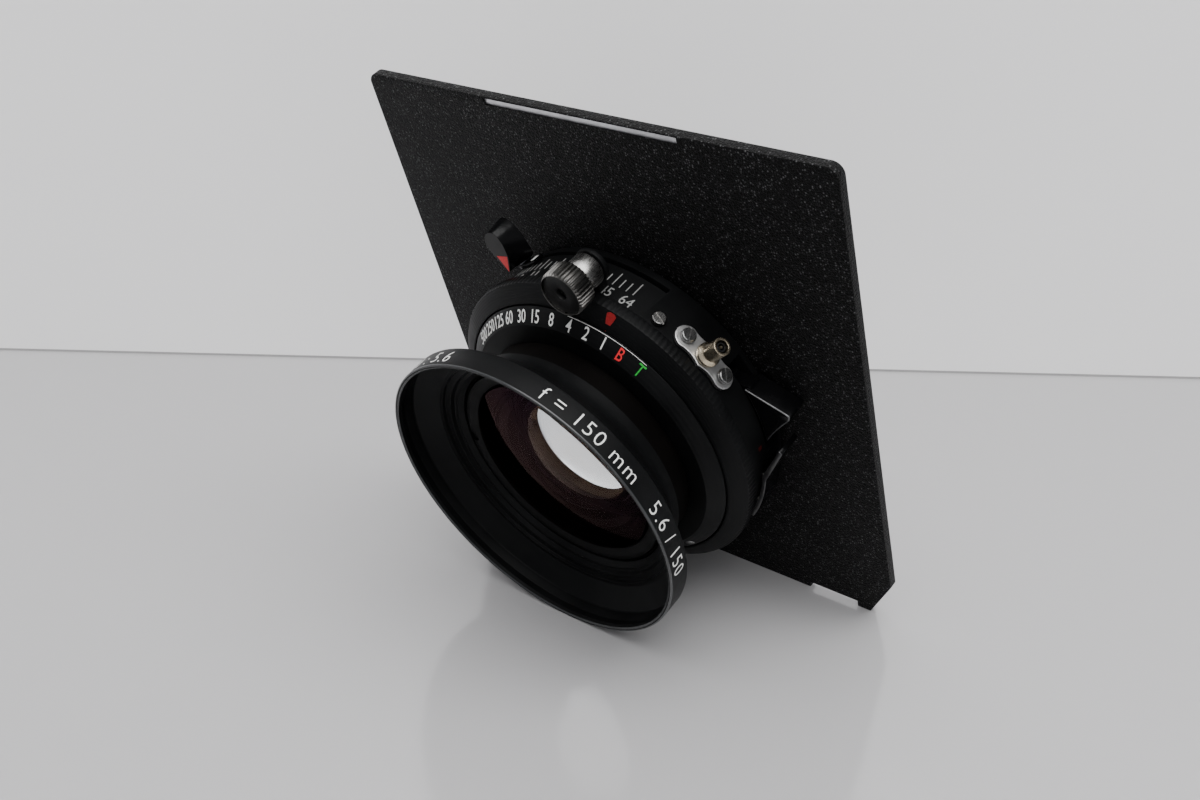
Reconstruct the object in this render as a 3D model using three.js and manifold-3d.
// A large-format lens in a size 0 leaf shutter, mounted on a flat 96 x 99 mm lens board.
//
// Every piece is drawn in the lens frame: the lens axis is Z, Z points out of the front glass, Y points
// up along the board, X points to the right as seen from the front, and the front face of the board is
// Z = 0. The last lines tilt the whole assembly on to the two things that it stands on: the lower front
// edge of the board and the lowest point of the front rim. Lengths are millimetres. Angles round the
// lens axis are degrees clockwise from the top, as seen from the front.

import * as THREE from 'three';
import { mergeVertices } from 'three/addons/utils/BufferGeometryUtils.js';
import Module from 'manifold-3d';

const wasm = await Module();
wasm.setup();

// ---------------------------------------------------------------- driving dimensions

const GAP = 0.3;                       // between faces that touch on the real object
const SIDES = 40;                      // facets of a large turned piece

const BOARD = { width: 96, top: 56.6, bottom: -42.4, thick: 2, hole: 17.5, corner: 2 };
const CHAMFER = { width: 5, height: 9.1 };            // the two cut lower corners
const NOTCH = { left: 30, right: 40.3, depth: 1.4 };  // in the lower edge
const STRIP = { half: 20, low: 55, high: 56.3, depth: 0.4 };  // milled bright strip
const SPOT_FACE = { radius: 21.6, depth: 0.2 };       // behind the board, round its hole
const DOWEL = { r: 20.5, hole: 1.2, pin: 0.9 };       // keeps the shutter from turning in the board

const HOUSING = { radius: 30, wall: 1.2, back: 0.3, floor: 1.5, top: 10.3 };
const TUBE = { outer: 16.2, inner: 15, back: -6 };    // rear threaded tube of the housing
const COVER = { bore: 15, flat: 25.1, edge: 27.7, face: 16.8, bevel: 14.8, low: 12.4, wall: 1.2 };
const SPEED = { inner: 28, outer: 31.3, back: 10.6, shoulder: 12.9, crest: 14.65, cam: 24.2 };

const RIM = { radius: 30.15, z: 34.5, band: 29.8 };   // front hood
const NECK = { radius: 21.8, back: 17.1, front: 24.6 };
const SEAT = { radius: 19.8, ledge: 18.8, floor: 18.2, top: 23.9, lock: 21.4 };   // of the front glass
const CELL = { outer: 14.7, inner: 13.3, front: 10.2, back: 1.2 };  // both screwed-in cell tubes
const REAR = { radius: 20.5, shoulder: -6.4, end: -16.2 };

// Each element's outer radius, the height of its front vertex, its middle thickness and the radii of its
// two faces. Positive faces bulge to the front.
const GLASSES = {
  frontOuter: {
    radius: 19.4, front: 26.99, frontFace: 103, thick: 2, backFace: 32.4, step: { radius: 18.5, z: 23.8 },
  },
  frontInner: { radius: 13, front: 14.89, frontFace: 32.2, thick: 6.43, backFace: -50 },
  rearInner: { radius: 13, front: 1.5, frontFace: 115.8, thick: 5.24, backFace: -26.6 },
  rearOuter: { radius: 17.5, front: -7.66, frontFace: 98.2, thick: 7.2, backFace: -50.1 },
};

const APERTURE = 12.4;                 // widest opening of the shutter
const BLADE = { count: 5, thick: 0.15, pitch: 0.35, tail: 8 };
const IRIS = { z: 3.1, inner: 12.9, outer: 24.4, pivot: 19.5, span: 108, first: 28 };
const SHUT = { z: 5.9, inner: 12.8, outer: 27.6, pivot: 20.5, span: 84, first: 10 };

const LEVER_SLOT = { z0: 1.9, z1: 2.9 };
const COCK = { pivotR: 26.5, pivotA: 64, back: 0.6, front: 5.3, inBack: 1.9, inFront: 4.7 };
const FIRE = { pivotR: 26.3, pivotA: 123, back: 2.6, front: 7.6, inFront: 4.7 };
const SOCKET = { r: 35.2, a: 8, back: 10.1, front: 18, collar: 4.2, barrel: 3.05, bore: 1.25 };
const SYNC = { a: 49.3, z: 7.75, reach: 6.4, half: 2.15, waist: 1.5, plate: 0.8, screws: 8.1 };
const SIDE_SCREW = { a: 31.1, z: 8.4, head: 1.25, shank: 0.6 };

// ---------------------------------------------------------------- materials

function finish(color, roughness, metalness) {
  return new THREE.MeshStandardMaterial({ color, roughness, metalness });
}

const CRINKLE = finish(0x141414, 0.75, 0.1);
const SATIN = finish(0x0c0d0d, 0.4, 0.3);
const BLACK = finish(0x08080a, 0.25, 0.2);
const NICKEL = finish(0xc9c8c4, 0.25, 1);
const STEEL = finish(0x8b8d90, 0.35, 1);
const BRASS = finish(0xb08d4f, 0.3, 1);
const GLASS = finish(0xb7c4cc, 0.05, 0);
const PLASTIC = finish(0x101010, 0.6, 0);

// ---------------------------------------------------------------- solids

const rad = THREE.MathUtils.degToRad;
const polar = (r, a) => new THREE.Vector2(r * Math.sin(rad(a)), r * Math.cos(rad(a)));

// Welds a geometry into a manifold solid, with its faces pointing out.
function weld(geometry) {
  const bare = geometry.clone();
  bare.deleteAttribute('normal');
  bare.deleteAttribute('uv');
  const merged = mergeVertices(bare, 1e-4);
  const at = merged.attributes.position.array;
  const corners = [];
  let volume = 0;
  for (let i = 0; i < merged.index.count; i += 3) {
    const [a, b, c] = [0, 1, 2].map((k) => merged.index.getX(i + k));
    if (a === b || b === c || c === a) continue;
    corners.push([a, b, c]);
    const [p, q, r] = [a, b, c].map((k) => new THREE.Vector3().fromArray(at, 3 * k));
    volume += p.dot(q.cross(r));
  }
  const triVerts = new Uint32Array(corners.flatMap(([a, b, c]) => (volume < 0 ? [a, c, b] : [a, b, c])));
  return new wasm.Manifold(new wasm.Mesh({ numProp: 3, vertProperties: new Float32Array(at), triVerts }));
}

function geometryOf(solid) {
  const mesh = solid.getMesh();
  const geometry = new THREE.BufferGeometry();
  geometry.setAttribute('position', new THREE.BufferAttribute(new Float32Array(mesh.vertProperties), 3));
  geometry.setIndex(new THREE.BufferAttribute(new Uint32Array(mesh.triVerts), 1));
  geometry.computeVertexNormals();
  return geometry;
}

// A solid of revolution about Z, from a closed outline of [radius, z] pairs.
function turned(outline, sides = SIDES) {
  const points = outline.map(([r, z]) => new THREE.Vector2(r, z));
  points.push(points[0].clone());
  return weld(new THREE.LatheGeometry(points, sides).rotateX(Math.PI / 2));
}

function ring(inner, outer, z0, z1, sides) {
  return turned([[inner, z0], [outer, z0], [outer, z1], [inner, z1]], sides);
}

const disc = (r, z0, z1, sides = 24) => turned([[0, z0], [r, z0], [r, z1], [0, z1]], sides);
const moved = (solid, x, y, z = 0) => solid.translate([x, y, z]);
const discAt = (place, r, z0, z1, sides) => moved(disc(r, z0, z1, sides), place.x, place.y);

// A flat piece: a shape in the XY plane, thickened from z0 to z1.
function plate(shape, z0, z1, curveSegments = 8) {
  const extruded = new THREE.ExtrudeGeometry(shape, { depth: z1 - z0, bevelEnabled: false, curveSegments });
  return weld(extruded.translate(0, 0, z0));
}

const polygon = (points) => new THREE.Shape(points.map(([x, y]) => new THREE.Vector2(x, y)));
const rectangle = (x0, x1, y0, y1) => polygon([[x0, y0], [x1, y0], [x1, y1], [x0, y1]]);

// The part of a ring between two angles.
function sector(inner, outer, a0, a1, step = 9) {
  const count = Math.max(2, Math.round((a1 - a0) / step));
  const sweep = [...Array(count + 1).keys()].map((i) => a0 + ((a1 - a0) * i) / count);
  const outside = sweep.map((a) => polar(outer, a));
  const inside = sweep.map((a) => polar(inner, a)).reverse();
  return new THREE.Shape([...outside, ...inside]);
}

// Turns a solid drawn along +Z from its own origin so that it points out from the lens axis at an angle.
function outward(solid, a, r, z) {
  const out = polar(1, a);
  const side = new THREE.Vector3(out.y, -out.x, 0);
  const front = new THREE.Vector3(0, 0, 1);
  const matrix = new THREE.Matrix4().makeBasis(side, front, new THREE.Vector3(out.x, out.y, 0));
  matrix.setPosition(out.x * r, out.y * r, z);
  return solid.transform(matrix.elements);
}

const lens = new THREE.Group();
function add(name, solid, material) {
  const mesh = new THREE.Mesh(geometryOf(solid), material);
  mesh.name = name;
  lens.add(mesh);
}

// ---------------------------------------------------------------- board

function lensBoard() {
  const half = BOARD.width / 2;
  const shape = new THREE.Shape();
  shape.moveTo(-half + CHAMFER.width, BOARD.bottom);
  shape.lineTo(NOTCH.left, BOARD.bottom);
  shape.lineTo(NOTCH.left, BOARD.bottom + NOTCH.depth);
  shape.lineTo(NOTCH.right, BOARD.bottom + NOTCH.depth);
  shape.lineTo(NOTCH.right, BOARD.bottom);
  shape.lineTo(half - CHAMFER.width, BOARD.bottom);
  shape.lineTo(half, BOARD.bottom + CHAMFER.height);
  shape.absarc(half - BOARD.corner, BOARD.top - BOARD.corner, BOARD.corner, 0, Math.PI / 2);
  shape.absarc(BOARD.corner - half, BOARD.top - BOARD.corner, BOARD.corner, Math.PI / 2, Math.PI);
  shape.lineTo(-half, BOARD.bottom + CHAMFER.height);
  const bore = disc(BOARD.hole, -BOARD.thick - 1, 1, SIDES);
  const dowel = moved(disc(DOWEL.hole, -BOARD.thick - 1, 1, 16), 0, -DOWEL.r);
  const spotFace = disc(SPOT_FACE.radius, -BOARD.thick - 1, SPOT_FACE.depth - BOARD.thick, SIDES);
  const groove = plate(rectangle(-STRIP.half, STRIP.half, STRIP.low, STRIP.high), -STRIP.depth, 1);
  const sheet = plate(shape, -BOARD.thick, 0, 6);
  return [bore, dowel, spotFace, groove].reduce((solid, cut) => solid.subtract(cut), sheet);
}

function mountingRing() {
  const body = ring(TUBE.outer + GAP, 21, -4.8, -BOARD.thick - GAP);
  const slot = plate(rectangle(-1.2, 1.2, 19, 23), -6, -3.6);
  return [0, 90, 180, 270].reduce((solid, turn) => solid.subtract(slot.rotate([0, 0, turn])), body);
}

// ---------------------------------------------------------------- shutter housing

function shutterHousing() {
  const { radius, wall, back, floor, top } = HOUSING;
  const shell = turned([
    [TUBE.inner, TUBE.back], [TUBE.outer, TUBE.back], [TUBE.outer, back], [radius - 0.4, back],
    [radius, back + 0.4], [radius, top], [radius - wall, top], [radius - wall, floor], [TUBE.inner, floor],
  ]);
  const window = (a0, a1, z0, z1) => plate(sector(radius - wall - 1, radius + 1, a0, a1, 6), z0, z1);
  const place = polar(SOCKET.r, SOCKET.a);
  const foot = discAt(place, SOCKET.barrel + 0.15, 8.9, SOCKET.back - GAP, 24);
  const arm = plate(rectangle(-1.3, 1.3, 29.4, 34.5), 7.6, SOCKET.back - GAP);
  const dowel = moved(disc(DOWEL.pin, -1.5, back + 0.5, 16), 0, -DOWEL.r);
  return shell
    .subtract(window(-47, 27, LEVER_SLOT.z0, LEVER_SLOT.z1))
    .subtract(window(57, 93, 1.6, 5.0))
    .subtract(window(97, 131, 2.2, 5.0))
    .subtract(window(-112, -72, 7.5, 8.6))
    .subtract(outward(disc(SIDE_SCREW.shank + GAP, -2, 2, 16), SIDE_SCREW.a, radius, SIDE_SCREW.z))
    .subtract(outward(disc(1.3, -2, 2, 16), SYNC.a, radius, SYNC.z))
    .add(arm.rotate([0, 0, -SOCKET.a]))
    .add(foot)
    .subtract(discAt(place, SOCKET.bore, 6, 12, 16))
    .add(dowel);
}

function frontCover() {
  const { bore, flat, edge, face, bevel, low, wall } = COVER;
  return turned([
    [bore, 9.9], [bore + 1, 9.9], [bore + 1, face - wall], [flat - 0.5, face - wall], [edge - 1, bevel - 0.7],
    [edge - 1, low], [edge, low], [edge, bevel], [flat, face], [bore, face],
  ]);
}

function speedRing() {
  const { inner, outer, back, shoulder, crest, cam } = SPEED;
  const body = turned([
    [cam, 11], [inner, 11], [inner, back], [outer - 0.4, back], [outer, back + 0.4], [outer, shoulder],
    [inner + 0.25, crest], [inner, crest], [inner, 11.9], [cam, 11.9],
  ]);
  const camSlot = plate(sector(cam + 1, cam + 2, -30, 25), 10.5, 12.2);
  return [0, 120, 240].reduce((solid, turn) => solid.subtract(camSlot.rotate([0, 0, turn])), body);
}

// ---------------------------------------------------------------- iris and aperture lever

// The grip's outline at its front face and at its wider foot.
const GRIP_FRONT = [
  [-18.6, 24.9], [-21.2, 27.6], [-22.7, 29.9], [-22.6, 31.8], [-21.3, 33.2], [-19.6, 33.4], [-18.3, 31.4],
  [-17.8, 28.6],
];
const GRIP_FOOT = [
  [-18.4, 24.9], [-21.2, 27.6], [-22.9, 30.1], [-22.5, 32.6], [-20.9, 34.2], [-18.9, 33.7], [-16.8, 31.3],
  [-15.3, 27.3],
];

function apertureRing() {
  const body = ring(13.2, 24.4, 2.0, 2.8);
  const arm = plate(sector(24, 32.5, -41, -35), 2.0, 2.8);
  return body.add(arm);
}

function apertureLever() {
  const foot = 2.8 + GAP;
  const skin = 0.1;
  const front = 7;
  return wasm.Manifold.hull([
    plate(polygon(GRIP_FOOT), foot, foot + skin), plate(polygon(GRIP_FRONT), front - skin, front),
  ]);
}

// A blade as it lies open: part of a ring, round which it turns on a pivot near one end.
function blade(form, index) {
  const step = 360 / BLADE.count;
  const start = form.first + index * step;
  const z0 = form.z + index * BLADE.pitch;
  const outline = sector(form.inner, form.outer, start - BLADE.tail, start + form.span);
  const leaf = plate(outline, z0, z0 + BLADE.thick);
  return leaf.subtract(discAt(polar(form.pivot, start), 0.7, z0 - 1, z0 + 1, 12));
}

// ---------------------------------------------------------------- shutter mechanism

const bladePlate = () => ring(APERTURE, 28.4, 5.0, 5.6);

function driveRing() {
  const body = ring(14, 25, 7.75, 8.35);
  const arm = plate(sector(24.5, 33.4, -101, -95), 7.75, 8.35);
  const slot = plate(sector(19.4, 20.8, 0, 20), 7, 9);
  const turns = [...Array(BLADE.count).keys()].map((i) => (i * 360) / BLADE.count);
  return turns.reduce((solid, turn) => solid.subtract(slot.rotate([0, 0, turn])), body).add(arm);
}

function previewTab() {
  const block = plate(sector(31.6, 34.6, -102.5, -93.5), 8.35 + GAP, 10.2);
  return block.subtract(plate(sector(30.5, 33.2, -110, -85), 9.4, 11));
}

const SCREW_ANGLES = [70, 190, 310];
const SCREW_R = 26.4;

function mechanismPlate() {
  const body = ring(13.2, 28.4, 8.65, 9.45);
  return SCREW_ANGLES.reduce((solid, a) => solid.subtract(discAt(polar(SCREW_R, a), 0.9, 8, 10, 12)), body);
}

// A slotted screw drawn head up along +Z, with its head standing on z = 0.
function screw(headRadius, headHeight, shankRadius, length) {
  const body = turned([
    [0, -length], [shankRadius, -length], [shankRadius, 0], [headRadius, 0],
    [headRadius, headHeight * 0.7], [headRadius * 0.85, headHeight], [0, headHeight],
  ], 14);
  const w = headRadius * 0.14;
  const reach = 2 * headRadius;
  const slot = plate(rectangle(-reach, reach, -w, w), headHeight * 0.55, headHeight + 1);
  return body.subtract(slot);
}

// A spur gear with straight-sided teeth and a bore.
function gear(teeth, outer, bore, z0, z1) {
  const points = [];
  for (let i = 0; i < teeth * 4; i += 1) {
    const radius = i % 4 < 2 ? outer : outer - 0.6;
    points.push(polar(radius, (i * 360) / (teeth * 4)));
  }
  return plate(new THREE.Shape(points), z0, z1).subtract(disc(bore, z0 - 1, z1 + 1, 12));
}

const TRAIN_R = 20.2;
const TRAIN = [
  { name: 'retard_gear_1', a: 196, teeth: 18, outer: 3.6 },
  { name: 'retard_gear_2', a: 216, teeth: 14, outer: 2.9 },
  { name: 'retard_escape_wheel', a: 233, teeth: 10, outer: 2.6 },
];

function anchor() {
  const outline = [
    [-2.4, -1.2], [-1.5, -2], [0, -0.9], [1.5, -2], [2.4, -1.2], [1, 0.9], [0, 1.4], [-1, 0.9],
  ];
  const place = polar(TRAIN_R, 248.5);
  const body = plate(polygon(outline), 10.2, 11).subtract(disc(0.5, 9, 12, 10));
  return moved(body.rotate([0, 0, 30]), place.x, place.y);
}

// A wire coil round the lens axis with square-cut ends.
const COIL = { r: 18, wire: 0.35, turns: 2.5, start: 12.6, rise: 2.2, steps: 60 };

function mainspring() {
  const at = (i) => {
    const place = polar(COIL.r, (i / COIL.steps) * COIL.turns * 360);
    return new THREE.Vector3(place.x, place.y, COIL.start + (COIL.rise * i) / COIL.steps);
  };
  const section = new THREE.Shape();
  section.absarc(0, 0, COIL.wire, 0, 2 * Math.PI);
  const extrudePath = new THREE.CatmullRomCurve3([...Array(COIL.steps + 1).keys()].map(at));
  const options = { steps: COIL.steps, extrudePath, curveSegments: 2, bevelEnabled: false };
  return weld(new THREE.ExtrudeGeometry(section, options));
}

// ---------------------------------------------------------------- cocking and release levers

const cockPivot = polar(COCK.pivotR, COCK.pivotA);
const firePivot = polar(FIRE.pivotR, FIRE.pivotA);

function cockingLever() {
  const root = polar(30.6, 66);
  const tip = polar(37.4, 75.6);
  const heel = polar(30.6, 87.5);
  const waist = polar(33.6, 80.8);
  const paddle = new THREE.Shape();
  paddle.moveTo(root.x, root.y);
  paddle.lineTo(tip.x - 0.6, tip.y + 0.3);
  paddle.quadraticCurveTo(tip.x + 0.4, tip.y, tip.x - 0.2, tip.y - 1.1);
  paddle.quadraticCurveTo(waist.x, waist.y, heel.x, heel.y);
  for (const a of [83, 79, 75, 71]) paddle.lineTo(polar(30.6, a).x, polar(30.6, a).y);
  const outside = plate(paddle, COCK.back, COCK.front);
  const shoulder = polar(31.5, 80);
  const web = plate(polygon([
    [cockPivot.x - 0.5, cockPivot.y + 1.5], [root.x + 0.8, root.y + 0.2], [shoulder.x, shoulder.y],
    [cockPivot.x + 0.6, cockPivot.y - 1.5],
  ]), COCK.inBack, COCK.inFront);
  const hub = discAt(cockPivot, 1.7, COCK.inBack, COCK.inFront, 20);
  return outside.add(web).add(hub).subtract(discAt(cockPivot, 1.1, 0, 8, 16));
}

function releaseLever() {
  const strip = plate(sector(30.4, 31.2, 100, 123, 3), FIRE.back, FIRE.front);
  const near = polar(30.4, 100);
  const tip = polar(35.2, 85.8);
  const elbow = polar(31.2, 101.2);
  const finger = plate(polygon([
    [near.x, near.y], [tip.x - 0.5, tip.y + 0.2], [tip.x + 0.1, tip.y - 0.4], [elbow.x, elbow.y],
  ]), FIRE.back, FIRE.front);
  const web = plate(sector(25.6, 30.8, 118, 124.5, 2), FIRE.back, FIRE.inFront);
  const hub = discAt(firePivot, 1.6, FIRE.back, FIRE.inFront, 20);
  return strip.add(finger).add(web).add(hub).subtract(discAt(firePivot, 1.0, 0, 8, 16));
}

const pin = (place, r, z0, z1) => discAt(place, r, z0, z1, 16);

// ---------------------------------------------------------------- cable release socket

const socketPlace = polar(SOCKET.r, SOCKET.a);

function socketBarrel() {
  const { back, barrel, bore } = SOCKET;
  return moved(turned([
    [bore, back], [barrel, back], [barrel, 13.7], [2.55, 13.7], [2.55, 16.5], [bore, 16.5],
  ], 24), socketPlace.x, socketPlace.y);
}

function socketCollar() {
  const { front, collar } = SOCKET;
  return moved(turned([
    [2.85, 14], [collar - 0.2, 14], [collar, 14.2], [collar, front - 0.3], [collar - 0.3, front],
    [3.8, front], [3.8, 16.6], [2.85, 16.6],
  ], 28), socketPlace.x, socketPlace.y);
}

function socketInsert() {
  const { bore } = SOCKET;
  const face = turned([[bore, 16.8], [3.5, 16.8], [3.5, 17.5], [2.2, 17.5], [bore, 17.1]], 20);
  return moved(face, socketPlace.x, socketPlace.y);
}

// ---------------------------------------------------------------- flash sync socket

function syncPlate() {
  const { reach, half, waist } = SYNC;
  const outline = new THREE.Shape();
  outline.moveTo(-reach + half, -half);
  outline.quadraticCurveTo(-2, -waist, 0, -half - 0.3);
  outline.quadraticCurveTo(2, -waist, reach - half, -half);
  outline.absarc(reach - half, 0, half, -Math.PI / 2, Math.PI / 2);
  outline.quadraticCurveTo(2, waist, 0, half + 0.3);
  outline.quadraticCurveTo(-2, waist, -reach + half, half);
  outline.absarc(half - reach, 0, half, Math.PI / 2, 1.5 * Math.PI);
  const blank = outward(plate(outline, -4, 4, 6), SYNC.a, HOUSING.radius, SYNC.z);
  const inner = HOUSING.radius + GAP;
  const curved = blank.intersect(ring(inner, inner + SYNC.plate, 0, 15, 64));
  const holes = [[-SYNC.screws, 0.85], [0, 1.35], [SYNC.screws, 0.85]].map(
    ([turn, r]) => outward(disc(r, -4, 4, 16), SYNC.a + turn, HOUSING.radius, SYNC.z),
  );
  return holes.reduce((solid, cut) => solid.subtract(cut), curved);
}

const SYNC_FACE = HOUSING.radius + GAP + SYNC.plate + GAP;
const syncShell = () => outward(turned([
  [1.1, 0], [2.1, 0], [2.1, 0.7], [1.7, 1.1], [1.55, 1.4], [1.55, 4.8], [1.1, 4.8],
], 24), SYNC.a, SYNC_FACE, SYNC.z);
const syncInsulator = () => outward(ring(0.55, 0.8, 0.3, 4.4, 20), SYNC.a, SYNC_FACE, SYNC.z);
const syncPin = () => outward(disc(0.28, -2.6, 4.5, 12), SYNC.a, SYNC_FACE, SYNC.z);

// ---------------------------------------------------------------- barrels and glass

// The cell that holds the front glass and screws into the shutter.
function frontCell() {
  return turned([
    [CELL.inner, CELL.front], [CELL.outer, CELL.front], [CELL.outer, NECK.back], [NECK.radius, NECK.back],
    [NECK.radius, NECK.front], [SEAT.lock, NECK.front], [SEAT.lock, SEAT.top], [SEAT.radius, SEAT.top],
    [SEAT.radius, SEAT.floor], [SEAT.ledge, SEAT.floor], [CELL.inner + 0.5, NECK.back + 0.3],
    [CELL.inner, NECK.back - 0.4],
  ]);
}

// The flared ring in front of the cell, threaded inside its rim for a filter and stepped below the thread.
function frontHood() {
  const { radius, z, band } = RIM;
  const bore = NECK.radius + GAP;
  return turned([
    [bore, 21.4], [22.7, 21.4], [22.8, 23], [23.5, 24.6], [25.2, 26.4], [28.6, 28.8], [radius - 0.25, band],
    [radius, band + 0.3], [radius, z], [29.5, z], [29.2, 33.9], [29.2, 30.6], [25.7, 27.6], [24.9, 27.6],
    [24.8, 26.9], [23.6, 26.9], [23.3, 26], [22.7, 26], [bore, 25.2],
  ]);
}

// How far a spherical face falls back from its middle at radius r. Positive faces bulge to the front.
function sag(faceRadius, r) {
  return Math.sign(faceRadius) * (Math.abs(faceRadius) - Math.sqrt(faceRadius ** 2 - r ** 2));
}

// A lens element between two spherical faces. Where it has a step, its front part is cut back to the
// step's radius, and the ledge at the step's height is what the lock ring holds.
function element({ radius, front, frontFace, thick, backFace, step }) {
  const count = 5;
  const share = [...Array(count + 1).keys()].map((i) => i / count);
  const frontRadius = step ? step.radius : radius;
  const back = share.map((t) => [radius * t, front - thick - sag(backFace, radius * t)]);
  const fore = share.map((t) => [frontRadius * (1 - t), front - sag(frontFace, frontRadius * (1 - t))]);
  const ledge = step ? [[radius, step.z], [frontRadius, step.z]] : [];
  return turned([...back, ...ledge, ...fore], 32);
}

const frontRetainer = () => ring(18.8, 21.1, 24.2, 25.4);

function rearBarrel() {
  const { radius, shoulder, end } = REAR;
  return turned([
    [CELL.inner, CELL.back], [CELL.outer, CELL.back], [CELL.outer, shoulder], [radius - 0.3, shoulder],
    [radius, shoulder - 0.3], [radius, end + 0.5], [radius - 0.5, end], [18.2, end], [17.9, -9.1],
    [CELL.inner, -7.4],
  ]);
}

const rearRetainer = () => ring(16.6, 17.6, -15.9, -14.9);

// ---------------------------------------------------------------- assembly

add('lens_board', lensBoard(), CRINKLE);
add('mounting_ring', mountingRing(), SATIN);
add('shutter_housing', shutterHousing(), SATIN);
add('front_cover', frontCover(), SATIN);
add('speed_ring', speedRing(), SATIN);
add('aperture_ring', apertureRing(), STEEL);
add('aperture_lever', apertureLever(), BLACK);
for (let i = 0; i < BLADE.count; i += 1) add(`iris_blade_${i + 1}`, blade(IRIS, i), BLACK);
add('blade_plate', bladePlate(), STEEL);
for (let i = 0; i < BLADE.count; i += 1) add(`shutter_blade_${i + 1}`, blade(SHUT, i), BLACK);
add('blade_drive_ring', driveRing(), STEEL);
add('preview_tab', previewTab(), BLACK);
add('mechanism_plate', mechanismPlate(), BRASS);
SCREW_ANGLES.forEach((a, i) => {
  const place = polar(SCREW_R, a);
  add(`plate_screw_${i + 1}`, moved(screw(1.3, 0.6, 0.6, 1.6), place.x, place.y, 9.75), STEEL);
});
for (const { name, a, teeth, outer } of TRAIN) {
  const place = polar(TRAIN_R, a);
  add(name, moved(gear(teeth, outer, 0.5, 9.8, 10.6), place.x, place.y), BRASS);
}
add('retard_anchor', anchor(), STEEL);
add('mainspring', mainspring(), STEEL);
add('cocking_lever', cockingLever(), BLACK);
add('cocking_pivot', pin(cockPivot, 0.8, 1.8, 4.7), STEEL);
add('release_lever', releaseLever(), BLACK);
add('release_pivot', pin(firePivot, 0.7, 1.8, 4.7), STEEL);
add('release_socket', socketBarrel(), NICKEL);
add('release_collar', socketCollar(), NICKEL);
add('release_insert', socketInsert(), PLASTIC);
add('release_plunger', discAt(socketPlace, 0.9, 10.3, 16.1, 16), STEEL);
const sideScrew = screw(SIDE_SCREW.head, 0.8, SIDE_SCREW.shank, 1.2);
add('side_screw', outward(sideScrew, SIDE_SCREW.a, HOUSING.radius + GAP, SIDE_SCREW.z), NICKEL);
add('sync_plate', syncPlate(), NICKEL);
[-1, 1].forEach((side, i) => {
  const head = outward(screw(1.3, 0.7, 0.55, 1.4), SYNC.a + side * SYNC.screws, SYNC_FACE, SYNC.z);
  add(`sync_screw_${i + 1}`, head, NICKEL);
});
add('sync_shell', syncShell(), BRASS);
add('sync_insulator', syncInsulator(), PLASTIC);
add('sync_pin', syncPin(), BRASS);
add('front_cell', frontCell(), SATIN);
add('front_hood', frontHood(), SATIN);
add('front_retainer', frontRetainer(), SATIN);
add('front_outer_glass', element(GLASSES.frontOuter), GLASS);
add('front_inner_glass', element(GLASSES.frontInner), GLASS);
add('rear_barrel', rearBarrel(), SATIN);
add('rear_inner_glass', element(GLASSES.rearInner), GLASS);
add('rear_outer_glass', element(GLASSES.rearOuter), GLASS);
add('rear_retainer', rearRetainer(), SATIN);

// ---------------------------------------------------------------- resting attitude

// The board's lower front edge and the lowest point of the rim both touch the ground.
const tilt = Math.atan2(-BOARD.bottom - RIM.radius, RIM.z);
const height = -BOARD.bottom * Math.cos(tilt);
const frontReach = -RIM.radius * Math.sin(tilt) - RIM.z * Math.cos(tilt);
const rearReach = REAR.radius * Math.sin(tilt) - REAR.end * Math.cos(tilt);
lens.rotation.x = Math.PI / 2 + tilt;
lens.position.set(0, -(frontReach + rearReach) / 2, height);

export default new THREE.Group().add(lens);
